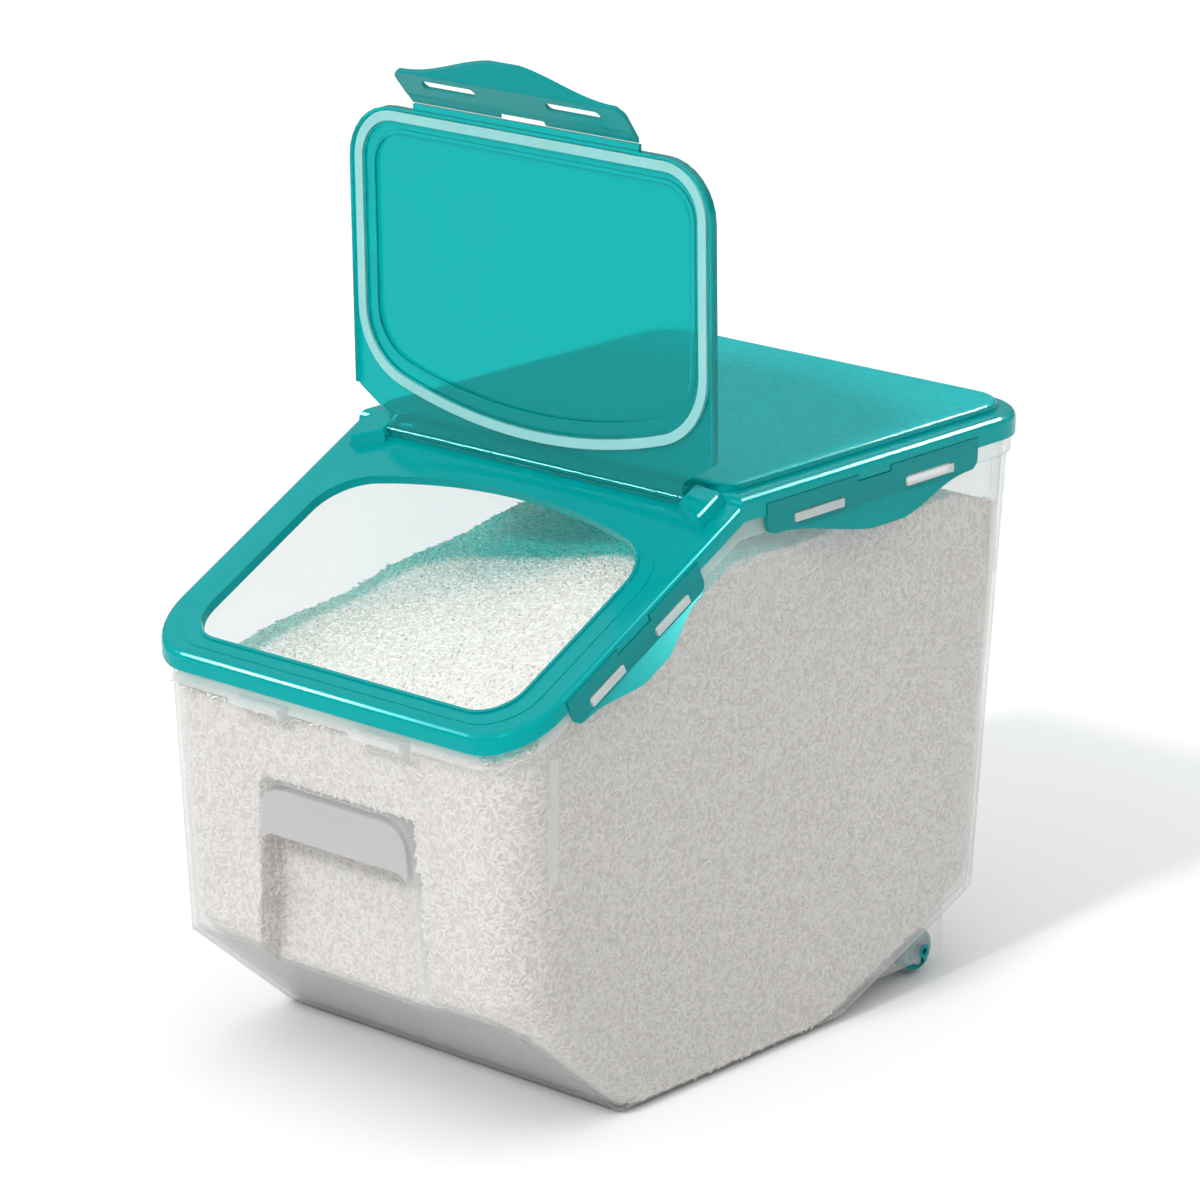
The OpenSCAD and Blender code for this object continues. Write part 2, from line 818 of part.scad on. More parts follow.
// Two plates and a cross wall round each wheel
module wheel_ears() {
    inner_x = wheel_x - wheel_t - ear_gap - ear_t;
    cross_y = wheel_y - wheel_r - 9;
    cross_t = 2.2;
    for (side = [0, 1])
        mirror([side, 0, 0]) {
            ear(wheel_x + ear_gap);
            ear(inner_x);
            translate([inner_x + eps, 0, 0])
                rotate([90, 0, 90])
                    linear_extrude(height = wheel_t + 2*ear_gap + 2*ear_t - 2*eps)
                        polygon([
                            [cross_y, ear_low], [cross_y + cross_t, ear_low],
                            [cross_y + cross_t, under_z(cross_y + cross_t) + 1],
                            [cross_y, under_z(cross_y) + 1]
                        ]);
        }
}

module bin_body() {
    color(clear_plastic)
        difference() {
            union() {
                intersection() {
                    difference() {
                        body_block(0);
                        body_block(wall);
                    }
                    below(rim_top);
                }
                intersection() {
                    body_block(0);
                    grip_prism(grip_high, wall, grip_top_r, 0, grip_depth + wall);
                }
                band(flange_inset, flange_in, [-flange_drop, -flange_drop], rim_top);
                front_ribs();
                corner_ribs();
                wheel_ears();
                for (side = [0, 1])
                    mirror([side, 0, 0]) {
                        rear_latch_frame() side_ribs(rear_slots[0], rear_slots[1]);
                        slope_latch_frame() side_ribs(slope_slots[0], slope_slots[1]);
                    }
            }
            grip_prism(grip_low, 0, grip_low_r, -20, grip_depth);
            grip_prism(grip_high, -pocket_step, grip_top_r, wall, grip_depth);
        }
}

// Wheel with both stub axles, turned about X
module wheel(side) {
    round = 1.5;
    stub_out = ear_gap + ear_t + 0.4;
    hub_r = stub_r + 2;
    dish = 1.6;
    hole_r = 1.7;
    hole_depth = 5;
    color(teal)
        mirror([side, 0, 0])
            translate([wheel_x, wheel_y, wheel_z])
                rotate([0, -90, 0])
                    rotate_extrude()
                        polygon([
                            [0, hole_depth - stub_out], [hole_r, hole_depth - stub_out], [hole_r, -stub_out],
                            [stub_r, -stub_out], [stub_r, 0], [hub_r, 0], [hub_r + 0.6, dish],
                            [wheel_r - 2.4, dish], [wheel_r - 1.8, 0], [wheel_r - round/2, 0],
                            [wheel_r, round/2], [wheel_r, wheel_t - round/2], [wheel_r - round/2, wheel_t],
                            [stub_r, wheel_t], [stub_r, wheel_t + stub_out], [0, wheel_t + stub_out]
                        ]);
}

bin_body();
lid_frame();
lid_gasket();
flip_door();
door_gasket();
front_latch();
slope_latch(1);  // latch_front_left
slope_latch(0);  // latch_front_right
rear_latch(1);  // latch_rear_left
rear_latch(0);  // latch_rear_right
wheel(1);  // wheel_left
wheel(0);  // wheel_right
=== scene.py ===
"""Looks of the rice bin: materials, the rice inside it, studio light and the photo's camera."""

import math

import bpy
import numpy as np
from mathutils import Matrix, Vector


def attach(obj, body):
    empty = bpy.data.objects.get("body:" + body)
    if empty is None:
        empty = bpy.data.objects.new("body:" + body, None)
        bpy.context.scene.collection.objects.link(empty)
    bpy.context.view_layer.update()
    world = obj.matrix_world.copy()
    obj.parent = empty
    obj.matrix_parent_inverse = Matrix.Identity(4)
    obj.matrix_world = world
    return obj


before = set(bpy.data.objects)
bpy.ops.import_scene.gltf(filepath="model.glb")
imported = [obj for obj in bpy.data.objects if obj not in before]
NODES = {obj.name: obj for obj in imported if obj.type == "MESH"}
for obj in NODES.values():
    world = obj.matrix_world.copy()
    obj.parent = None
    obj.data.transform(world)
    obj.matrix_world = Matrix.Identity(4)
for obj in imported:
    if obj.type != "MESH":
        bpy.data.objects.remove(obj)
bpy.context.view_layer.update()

MM = 0.001
RNG = np.random.default_rng(7)

# Camera, from the fit to the photo
CAMERA_AT = (1.5219, -1.7177, 0.8941)
YAW = math.radians(-48.5)
PITCH = math.radians(16.88)
ROLL = math.radians(0.12)
FOCAL_PX = 5154.6
PHOTO_PX = 1200
SENSOR_MM = 36

# Light
LID_PASSES = (0.14, 0.66, 0.63)
SKY = 1.2
KEY = 1.55
KEY_SPREAD = 7
KEY_FROM = (0.1, -2.4, 2.2)
SHINE_SIZE = (0.12, 0.8)
SHINES = [
    ("shine_rear", (0.6, 1.7, 1.9), 50),
    ("shine_right", (1.35, 0.4, 2.15), 50),
    ("shine_left", (-1.55, -1.4, 1.5), 36),
]
SHARP_OVER = math.radians(32)

# Teal plastics: how see-through and rough, depth of grain, colour upright and lying level, the level one
# darker as painted shade
TEALS = {
    "teal_lid": (0.22, 0.16, 0.02, (0, 0.4, 0.405), (0, 0.335, 0.34)),
    "teal_door": (0.74, 0.06, 0.01, (0, 0.465, 0.455), (0, 0.42, 0.41)),
    "teal_flap": (0.3, 0.14, 0.03, (0, 0.335, 0.335), (0, 0.32, 0.32)),
    "teal_wheel": (0.0, 0.3, 0.1, (0, 0.27, 0.29), (0, 0.24, 0.26)),
}
PANEL_Z = 0.2786
PANEL_ROUGH = 0.42
PANEL_TEALS = [(0.35, (0, 0.44, 0.45)), (0.65, (0, 0.52, 0.53))]

# Clear plastic: colours, and how dense each milky or grey place is
CLEAR = (0.8, 0.8, 0.795)
# painted shade: grey for the underside faces that look down at the floor
UNDERSIDE_PAINTED_SHADE = (0.35, 0.35, 0.345)
LIP_GREY = (0.56, 0.545, 0.55)
BAR_WHITE = (0.86, 0.88, 0.88)
# painted shade: grey for the clear wall where it is seen edge on, standing in for refraction
EDGE_ON_PAINTED_SHADE = (0.4, 0.41, 0.41)
UNDER_DENSE = 0.62
LIP_DENSE = 0.72
BAR_DENSE = 0.55
RIB_DENSE = 0.36
FRONT_BAR_SHARE = 0.6
LEAST_HAZE = 0.16
EDGE_HAZE = 0.85

# Inside of the bin, in millimetres
LID_W = 235
LID_L = 367
BODY_INSET = 3.6
WALL = 2.2
REAR_LINE = 265
FRONT_LINE = 188
CREASE_Z = 62
BASE_FRONT = -100
BASE_REAR = 52
HEEL_Z = 44
SIDE_LEAN = 0.02
FRONT_LEAN = 0.05
REAR_LEAN = 0.066
CORNER_R = 22.8
UNDER_R = 9
FRONT_BLEND_Z = 41
REAR_BLEND_Z = 34
GRIP_HALF_W = 49.5
GRIP_TAPER = 0.086
GRIP_DEPTH = 14.2
GRIP_TOP = 144.2

# Rice
RICE_GAP = 1.3
UNDER_GAP = 2.2
GRAIN_L = 4.6
GRAIN_W = 1.42
GRAIN_COVER = 1.35
GRAIN_FILL = 0.78
GRAIN_SINK = 0.25
GRAIN_DEPTHS = 0.4
FINE_GRAINS = ("rice_top", "rice_front", "rice_right", "rice_right_rear")
TOP_SPLIT_Y = -20
SIDE_SPLIT_Y = 0
RING_POINTS = 280
RING_HEIGHTS = (*range(3, 66, 3), *range(68, 252, 6))
HEAP_RINGS = (0.93, 0.84, 0.75, 0.66, 0.57, 0.48, 0.39, 0.3, 0.21, 0.12)
HEAP_HALF_W = 110
HEAP_LEFT = [(-176, 177), (-118, 183), (-31, 197), (77, 208), (176, 204)]
HEAP_RIGHT = [(-176, 184), (-118, 209), (-34, 244), (128, 243), (176, 228)]

# Where the clear plastic is milky or grey, in metres
LIP_HALF_W = 0.0455
LIP_LOW = 0.1165
LIP_TOP = 0.1425
LIP_R = 0.013
LIP_FRONT = -0.1695
LIP_EDGE = 0.0006
BAR_X = 0.1163
FRONT_BAR_Y = -0.1835
RIB_X = 0.1142
RIB_FRONT_Y = -0.1803
# the underside is painted grey shade below this height
UNDER_Z = 0.064
SOFT_STEP = 0.0004


def node_tree(name):
    """A new material with only a Principled shader and its output."""
    material = bpy.data.materials.new(name)
    material.use_nodes = True
    tree = material.node_tree
    shader = tree.nodes["Principled BSDF"]
    return material, tree, shader


def add(tree, kind, **values):
    """A node with its properties or named inputs set."""
    node = tree.nodes.new(kind)
    for key, value in values.items():
        if hasattr(node, key):
            setattr(node, key, value)
        else:
            node.inputs[key.replace("_", " ")].default_value = value
    return node


def bump(tree, shader, height, strength, distance):
    node = add(tree, "ShaderNodeBump", Strength=strength, Distance=distance)
    tree.links.new(height, node.inputs["Height"])
    tree.links.new(node.outputs["Normal"], shader.inputs["Normal"])
    return node


def object_noise(tree, scale, detail=3.0):
    coords = add(tree, "ShaderNodeTexCoord")
    noise = add(tree, "ShaderNodeTexNoise", Scale=scale, Detail=detail)
    tree.links.new(coords.outputs["Object"], noise.inputs["Vector"])
    return noise


def ramp(tree, source, stops):
    node = add(tree, "ShaderNodeValToRGB")
    elements = node.color_ramp.elements
    for element, (place, colour) in zip(elements, stops):
        element.position = place
        element.color = (*colour, 1)
    tree.links.new(source, node.inputs["Fac"])
    return node


def levels(tree, source, low, high, out_low=0.0, out_high=1.0):
    """A clamped ramp from one value to another."""
    node = add(tree, "ShaderNodeMapRange")
    node.inputs["From Min"].default_value = low
    node.inputs["From Max"].default_value = high
    node.inputs["To Min"].default_value = out_low
    node.inputs["To Max"].default_value = out_high
    tree.links.new(source, node.inputs["Value"])
    return node.outputs["Result"]


def math_node(tree, operation, first, second):
    """One operation on two sockets or numbers."""
    node = add(tree, "ShaderNodeMath", operation=operation)
    for socket, value in zip(node.inputs, (first, second)):
        if isinstance(value, (int, float)):
            socket.default_value = value
        else:
            tree.links.new(value, socket)
    return node.outputs["Value"]


def parts_of(tree, source):
    node = add(tree, "ShaderNodeSeparateXYZ")
    tree.links.new(source, node.inputs["Vector"])
    return node.outputs["X"], node.outputs["Y"], node.outputs["Z"]


def mix_colour(tree, factor, first, second):
    """Mix of two colours, each a socket or a plain colour."""
    node = add(tree, "ShaderNodeMix", data_type="RGBA")
    tree.links.new(factor, node.inputs["Factor"])
    for socket, value in ((node.inputs[6], first), (node.inputs[7], second)):
        if isinstance(value, tuple):
            socket.default_value = (*value, 1)
        else:
            tree.links.new(value, socket)
    return node.outputs[2]


def teal_plastic(name):
    """Tinted translucent plastic with a fine moulded grain; its colour is painted darker where it lies
    level, as painted shade.
    """
    see_through, roughness, grain, upright, level = TEALS[name]
    material, tree, shader = node_tree(name)
    coords = add(tree, "ShaderNodeTexCoord")
    facing = parts_of(tree, coords.outputs["Normal"])[2]
    cloud = object_noise(tree, 18)
    drift = levels(tree, cloud.outputs["Fac"], 0.3, 0.7, -0.12, 0.12)
    # painted shade: level faces get the darker colour, upright faces the lighter one
    turned = levels(tree, facing, 0.15, 0.85)
    painted_shade_and_drift = math_node(tree, "ADD", turned, drift)
    tint = ramp(tree, painted_shade_and_drift, [(0.0, upright), (1.0, level)])
    tree.links.new(tint.outputs["Color"], shader.inputs["Base Color"])
    shader.inputs["Transmission Weight"].default_value = see_through
    shader.inputs["IOR"].default_value = 1.42
    shader.inputs["Specular IOR Level"].default_value = 0.13
    shader.inputs["Specular Tint"].default_value = (0.1, 1, 1, 1)
    shader.inputs["Coat Weight"].default_value = 0.09
    shader.inputs["Coat Roughness"].default_value = 0.07
    shader.inputs["Roughness"].default_value = roughness
    fine = object_noise(tree, 900, 2)
    bump(tree, shader, fine.outputs["Fac"], grain, 0.0003)
    return material


def lid_plastic():
    """The lid's plastic, with a matte grained field on the raised rear panel."""
    material = teal_plastic("teal_lid")
    tree = material.node_tree
    shader = tree.nodes["Principled BSDF"]
    coords = add(tree, "ShaderNodeTexCoord")
    height = parts_of(tree, coords.outputs["Object"])[2]
    panel = levels(tree, height, PANEL_Z, PANEL_Z + 0.001)
    rough = levels(tree, panel, 0, 1, TEALS["teal_lid"][1], PANEL_ROUGH)
    tree.links.new(rough, shader.inputs["Roughness"])
    # smooth_tint is the teal colour with its painted shade on level faces
    smooth_tint = shader.inputs["Base Color"].links[0].from_socket
    field = ramp(tree, object_noise(tree, 320, 3).outputs["Fac"], PANEL_TEALS)
    colour = mix_colour(tree, panel, smooth_tint, field.outputs["Color"])
    tree.links.new(colour, shader.inputs["Base Color"])
    leather = object_noise(tree, 420, 3)
    grain = math_node(tree, "MULTIPLY", leather.outputs["Fac"], panel)
    bump(tree, shader, grain, 0.5, 0.0006)
    output = tree.nodes["Material Output"]
    through = add(tree, "ShaderNodeBsdfTransparent", Color=(*LID_PASSES, 1))
    light = add(tree, "ShaderNodeLightPath")
    either = add(tree, "ShaderNodeMixShader")
    tree.links.new(light.outputs["Is Shadow Ray"], either.inputs[0])
    tree.links.new(shader.outputs["BSDF"], either.inputs[1])
    tree.links.new(through.outputs["BSDF"], either.inputs[2])
    tree.links.new(either.outputs["Shader"], output.inputs["Surface"])
    return material


def grip_lip(tree, beside, y, z):
    """Mask of the rounded lip over the grip recess."""
    past_side = math_node(tree, "SUBTRACT", beside, LIP_HALF_W - LIP_R)
    past_top = math_node(tree, "SUBTRACT", z, LIP_TOP - LIP_R)
    round_x = math_node(tree, "POWER", math_node(tree, "MAXIMUM", past_side, 0.0), 2.0)
    round_z = math_node(tree, "POWER", math_node(tree, "MAXIMUM", past_top, 0.0), 2.0)
    reach = math_node(tree, "SQRT", math_node(tree, "ADD", round_x, round_z), 0.0)
    lip = levels(tree, reach, LIP_R, LIP_R - LIP_EDGE)
    lip = math_node(tree, "MULTIPLY", lip, levels(tree, z, LIP_LOW, LIP_LOW + 0.001))
    return math_node(tree, "MULTIPLY", lip, levels(tree, y, LIP_FRONT, LIP_FRONT - 0.001))


def latch_bars(tree, beside, front):
    """Mask of the bars that the latches clip over."""
    side_bar = levels(tree, beside, BAR_X, BAR_X + SOFT_STEP)
    front_bar = levels(tree, front, FRONT_BAR_Y, FRONT_BAR_Y - 0.001)
    return math_node(tree, "MAXIMUM", side_bar, math_node(tree, "MULTIPLY", front_bar, FRONT_BAR_SHARE))


def stands_proud(tree, beside, front, z):
    """Mask of the ribs and the rim flange, which stand out of the leaning walls."""
    lean = math_node(tree, "MULTIPLY", math_node(tree, "SUBTRACT", REAR_LINE*MM, z), SIDE_LEAN)
    at_side = levels(tree, math_node(tree, "ADD", beside, lean), RIB_X, RIB_X + SOFT_STEP)
    at_front = levels(tree, front, RIB_FRONT_Y, RIB_FRONT_Y - 0.0006)
    return math_node(tree, "MAXIMUM", at_side, at_front)


def clear_plastic():
    """Milky clear polypropylene: denser where it is seen edge on, on bars and ribs and on the grip's lip;
    painted grey shade on its low underside and painted grey edges where it is seen edge on.
    """
    material, tree, shader = node_tree("clear_polypropylene")
    shader.inputs["Roughness"].default_value = 0.2
    shader.inputs["IOR"].default_value = 1.45
    coords = add(tree, "ShaderNodeTexCoord")
    x, y, z = parts_of(tree, coords.outputs["Object"])
    upward = parts_of(tree, coords.outputs["Normal"])[2]
    beside = math_node(tree, "ABSOLUTE", x, 0.0)
    wall_y = math_node(tree, "MULTIPLY", math_node(tree, "SUBTRACT", FRONT_LINE*MM, z), FRONT_LEAN)
    front = math_node(tree, "SUBTRACT", y, wall_y)
    # painted shade: the downward faces low on the bin turn grey and denser
    under = levels(tree, upward, -0.62, -0.74)
    under = math_node(tree, "MULTIPLY", under, levels(tree, z, UNDER_Z, UNDER_Z - 0.006))
    lip = grip_lip(tree, beside, y, z)
    bar = latch_bars(tree, beside, front)
    proud = stands_proud(tree, beside, front, z)
    edge = add(tree, "ShaderNodeLayerWeight", Blend=0.35)
    # painted shade: grey edges where the wall is seen edge on
    outline = levels(tree, edge.outputs["Facing"], 0.55, 0.85)
    colour = mix_colour(tree, under, CLEAR, UNDERSIDE_PAINTED_SHADE)
    colour = mix_colour(tree, lip, colour, LIP_GREY)
    colour = mix_colour(tree, bar, colour, BAR_WHITE)
    colour = mix_colour(tree, outline, colour, EDGE_ON_PAINTED_SHADE)
    tree.links.new(colour, shader.inputs["Base Color"])
    turned = math_node(tree, "POWER", edge.outputs["Facing"], 2.0)
    haze = levels(tree, turned, 0, 1, LEAST_HAZE, EDGE_HAZE)
    cloud = levels(tree, object_noise(tree, 9).outputs["Fac"], 0.3, 0.7, 0.94, 1.06)
    alpha = math_node(tree, "MULTIPLY", haze, cloud)
    for mask, density in ((under, UNDER_DENSE), (lip, LIP_DENSE), (bar, BAR_DENSE), (proud, RIB_DENSE)):
        alpha = math_node(tree, "MAXIMUM", alpha, math_node(tree, "MULTIPLY", mask, density))
    tree.links.new(alpha, shader.inputs["Alpha"])
    wave = object_noise(tree, 25)
    bump(tree, shader, wave.outputs["Fac"], 0.05, 0.001)
    return material


def silicone():
    material, tree, shader = node_tree("pale_silicone")
    cloud = object_noise(tree, 40)
    tint = ramp(tree, cloud.outputs["Fac"], [(0.3, (0.26, 0.58, 0.575)), (0.7, (0.3, 0.63, 0.625))])
    tree.links.new(tint.outputs["Color"], shader.inputs["Base Color"])
    shader.inputs["Roughness"].default_value = 0.45
    shader.inputs["Specular IOR Level"].default_value = 0.25
    shader.inputs["Subsurface Weight"].default_value = 0.15
    shader.inputs["Subsurface Radius"].default_value = (0.002, 0.003, 0.003)
    fine = object_noise(tree, 1200, 2)
    bump(tree, shader, fine.outputs["Fac"], 0.1, 0.0002)
    return material


def rice_material():
    """Grains differ a little in shade."""
    material, tree, shader = node_tree("rice_grains")
    shade = add(tree, "ShaderNodeAttribute", attribute_name="grain_shade")
    tint = ramp(tree, shade.outputs["Fac"], [(0.0, (0.74, 0.695, 0.65)), (1.0, (0.95, 0.925, 0.895))])
    tree.links.new(tint.outputs["Color"], shader.inputs["Base Color"])
    shader.inputs["Roughness"].default_value = 0.5
    shader.inputs["Specular IOR Level"].default_value = 0.2
    shader.inputs["Subsurface Weight"].default_value = 0.08
    shader.inputs["Subsurface Radius"].default_value = (0.002, 0.002, 0.0015)
    fine = object_noise(tree, 1500, 2)
    bump(tree, shader, fine.outputs["Fac"], 0.15, 0.0002)
    return material


def rice_bed_material():
    """The rice body, coloured darker than the grains as painted shade in the gaps between the outer grains,
    less dark on the open top.
    """
    material, tree, shader = node_tree("rice_bed")
    coords = add(tree, "ShaderNodeTexCoord")
    cells = add(tree, "ShaderNodeTexVoronoi", Scale=420)
    tree.links.new(coords.outputs["Object"], cells.inputs["Vector"])
    # painted shade between grains: darker on the walls, less dark on the open top
    open_top_gap_shade = ramp(tree, cells.outputs["Distance"], [(0.0, (0.84, 0.81, 0.77)), (0.8, (0.68, 0.645, 0.6))])
    walls = ramp(tree, cells.outputs["Distance"], [(0.0, (0.76, 0.715, 0.67)), (0.8, (0.6, 0.56, 0.52))])
    upward = levels(tree, parts_of(tree, coords.outputs["Normal"])[2], 0.3, 0.7)
    tint = mix_colour(tree, upward, walls.outputs["Color"], open_top_gap_shade.outputs["Color"])
    tree.links.new(tint, shader.inputs["Base Color"])
    shader.inputs["Roughness"].default_value = 0.7
    bump(tree, shader, cells.outputs["Distance"], 0.4, 0.001)
    return material


def side_x(z):
    return LID_W/2 - BODY_INSET - WALL - SIDE_LEAN*(REAR_LINE - z) - RICE_GAP


def front_y(z):
    outer = -LID_L/2 + BODY_INSET + FRONT_LEAN*(FRONT_LINE - z)
    crease_y = -LID_L/2 + BODY_INSET + FRONT_LEAN*(FRONT_LINE - CREASE_Z)
    stretch = math.hypot(crease_y - BASE_FRONT, CREASE_Z)/CREASE_Z
    under_y = BASE_FRONT + (crease_y - BASE_FRONT)*z/CREASE_Z + (WALL + UNDER_GAP)*stretch
    return np.maximum(outer + WALL + RICE_GAP, under_y)


def rear_y(z):
    outer = LID_L/2 - BODY_INSET - REAR_LEAN*(REAR_LINE - z)
    heel_y = LID_L/2 - BODY_INSET - REAR_LEAN*(REAR_LINE - HEEL_Z)
    stretch = math.hypot(heel_y - BASE_REAR, HEEL_Z)/HEEL_Z
    under_y = BASE_REAR + (heel_y - BASE_REAR)*z/HEEL_Z - (WALL + UNDER_GAP)*stretch
    return np.minimum(outer - WALL - RICE_GAP, under_y)


def heap(x, y):
    """Height of the rice at a place seen from above."""
    left = np.interp(y, *zip(*HEAP_LEFT))
    right = np.interp(y, *zip(*HEAP_RIGHT))
    t = np.clip((x + HEAP_HALF_W)/(2*HEAP_HALF_W), 0, 1)
    t = t*t*(3 - 2*t)
    ripple = 1.2*np.sin(x/17 + y/31) + 1.0*np.sin(y/13 - x/41)
    return left + (right - left)*t + ripple


def ring_points(z, count):
    """Plan outline of the bin's inside at one height, from a fixed number of points."""
    half = float(side_x(z))
    front = float(front_y(z))
    rear = float(rear_y(z))
    front_r = float(np.interp(z, [FRONT_BLEND_Z, CREASE_Z], [UNDER_R, CORNER_R]))
    rear_r = float(np.interp(z, [REAR_BLEND_Z, HEEL_Z], [UNDER_R, CORNER_R]))
    corners = [
        (half - rear_r, rear - rear_r, 0, rear_r),
        (-half + rear_r, rear - rear_r, 90, rear_r),
        (-half + front_r, front + front_r, 180, front_r),
        (half - front_r, front + front_r, 270, front_r),
    ]
    arc_steps = count//20
    side_steps = count//4 - arc_steps
    path = []
    for (cx, cy, start, r), (nx, ny, next_start, next_r) in zip(corners, corners[1:] + corners[:1]):
        for k in range(arc_steps):
            a = math.radians(start + 90*k/arc_steps)
            path.append((cx + r*math.cos(a), cy + r*math.sin(a)))
        a = math.radians(start + 90)
        b = math.radians(next_start)
        here = np.array([cx + r*math.cos(a), cy + r*math.sin(a)])
        there = np.array([nx + next_r*math.cos(b), ny + next_r*math.sin(b)])
        for k in range(side_steps):
            path.append(tuple(here + (there - here)*k/side_steps))
    return np.array(path)


def keep_off_grip(points):
    """Rice stays behind the handle recess."""
    x, y, z = points[:, 0], points[:, 1], points[:, 2]
    half = GRIP_HALF_W + WALL + RICE_GAP - GRIP_TAPER*(z - CREASE_Z)
    wall = -LID_L/2 + BODY_INSET + FRONT_LEAN*(FRONT_LINE - z) + WALL + RICE_GAP
    back = np.maximum(front_y(z), wall + GRIP_DEPTH)
    inside = (np.abs(x) < half) & (z < GRIP_TOP + RICE_GAP) & (y < back)
    points[inside, 1] = back[inside]
    return points


def new_mesh(name, points, faces, material):
    mesh = bpy.data.meshes.new(name)
    mesh.from_pydata([tuple(p) for p in points], [], faces)
    mesh.update()
    piece = bpy.data.objects.new(name, mesh)
    bpy.context.scene.collection.objects.link(piece)
    mesh.materials.append(material)
    return piece


def rice_bed(material):
    """Closed body of rice that fills the bin up to its heap."""
    rings = []
    for z in RING_HEIGHTS:
        plan = ring_points(float(z), RING_POINTS)
        top = np.minimum(z, heap(plan[:, 0], plan[:, 1]))
        rings.append(keep_off_grip(np.column_stack([plan, top])))
    last = rings[-1]
    middle = last.mean(axis=0)
    for shrink in HEAP_RINGS:
        plan = middle[:2] + (last[:, :2] - middle[:2])*shrink
        rings.append(np.column_stack([plan, heap(plan[:, 0], plan[:, 1])]))
    points = np.concatenate(rings)
    faces = []
    n = len(rings[0])
    for level in range(len(rings) - 1):
        base = level*n
        for i in range(n):
            j = (i + 1) % n
            faces.append((base + i, base + j, base + n + j, base + n + i))
    faces.append(tuple(range(n - 1, -1, -1)))
    faces.append(tuple(range((len(rings) - 1)*n, len(rings)*n)))
    return new_mesh("rice_bed", points*MM, faces, material)


def grain_template(fine):
    """Unit grain: two poles with two rings of four, or one ring where milky plastic blurs it."""
    rings = ((-0.3, 0.46), (0.28, 0.5)) if fine else ((0.05, 0.56),)
    sides = 4
    points = [(-0.5, 0, 0)]
    for along, wide in rings:
        for k in range(sides):
            a = math.pi*(2*k + 1)/sides
            points.append((along, wide*math.cos(a), 0.9*wide*math.sin(a)))
    points.append((0.5, 0, 0))
    last = len(points) - 1
    faces = []
    for k in range(sides):
        j = (k + 1) % sides
        faces += [(0, 1 + j, 1 + k), (last, last - sides + k, last - sides + j)]
        if fine:
            faces += [(1 + k, 1 + j, 5 + j), (1 + k, 5 + j, 5 + k)]
    return np.array(points), np.array(faces)


def sample_surface(piece):
    """Random places and normals on a mesh, evenly spread."""
    mesh = piece.data
    mesh.calc_loop_triangles()
    corners = np.zeros(len(mesh.vertices)*3)
    mesh.vertices.foreach_get("co", corners)
    corners = corners.reshape(-1, 3)/MM
    tris = np.zeros(len(mesh.loop_triangles)*3, np.int32)
    mesh.loop_triangles.foreach_get("vertices", tris)
    tris = tris.reshape(-1, 3)
    a, b, c = corners[tris[:, 0]], corners[tris[:, 1]], corners[tris[:, 2]]
    cross = np.cross(b - a, c - a)
    area = np.linalg.norm(cross, axis=1)/2
    total = int(area.sum()*GRAIN_COVER/(GRAIN_FILL*GRAIN_L*GRAIN_W))
    pick = RNG.choice(len(area), total, p=area/area.sum())
    u, v = RNG.random(total), RNG.random(total)
    flip = u + v > 1
    u[flip], v[flip] = 1 - u[flip], 1 - v[flip]
    places = a[pick] + (b - a)[pick]*u[:, None] + (c - a)[pick]*v[:, None]
    normals = cross[pick]/(2*area[pick])[:, None]
    return places, normals


def grain_axes(normals, loose):
    """Length, width and depth directions of grains, each turned and tilted at random."""
    n = len(normals)
    spin = RNG.random(n)*2*math.pi
    helper = np.where(np.abs(normals[:, 2:3]) < 0.9, [[0, 0, 1.0]], [[1.0, 0, 0]])
    side = np.cross(helper, normals)
    side /= np.linalg.norm(side, axis=1)[:, None]
    other = np.cross(normals, side)
    along = side*np.cos(spin)[:, None] + other*np.sin(spin)[:, None]
    along += normals*(RNG.normal(0, loose, n))[:, None]
    along /= np.linalg.norm(along, axis=1)[:, None]
    across = np.cross(normals, along)
    across /= np.linalg.norm(across, axis=1)[:, None]
    return along, across, np.cross(along, across)


def grains(name, places, normals, loose, fine, material):
    """Grains lying on a surface, in one mesh with a shade for each grain."""
    n = len(places)
    along, across, up = grain_axes(normals, loose)
    points, faces = grain_template(fine)
    length = GRAIN_L*RNG.normal(1, 0.1, n).clip(0.7, 1.25)
    width = GRAIN_W*RNG.normal(1, 0.08, n).clip(0.8, 1.2)
    depth = RNG.random(n)*GRAIN_DEPTHS - GRAIN_SINK
    centres = places + normals*depth[:, None]
    co = (centres[:, None, :]
          + points[None, :, 0:1]*(along*length[:, None])[:, None, :]
          + points[None, :, 1:2]*(across*width[:, None])[:, None, :]
          + points[None, :, 2:3]*(up*width[:, None])[:, None, :])
    co = co.reshape(-1, 3)*MM
    index = (faces[None, :, :] + (np.arange(n)*len(points))[:, None, None]).reshape(-1, 3)
    mesh = bpy.data.meshes.new(name)
    mesh.vertices.add(len(co))
    mesh.vertices.foreach_set("co", co.ravel())
    mesh.loops.add(index.size)
    mesh.loops.foreach_set("vertex_index", index.ravel().astype(np.int32))
    mesh.polygons.add(len(index))
    mesh.polygons.foreach_set("loop_start", np.arange(0, index.size, 3, dtype=np.int32))
    mesh.polygons.foreach_set("use_smooth", np.ones(len(index), dtype=bool))
    mesh.update(calc_edges=True)
    shade = mesh.attributes.new("grain_shade", "FLOAT", "POINT")
    shade.data.foreach_set("value", np.repeat(RNG.random(n)**0.5, len(points)).astype(np.float32))
    mesh.materials.append(material)
    piece = bpy.data.objects.new(name, mesh)
    bpy.context.scene.collection.objects.link(piece)
    return piece


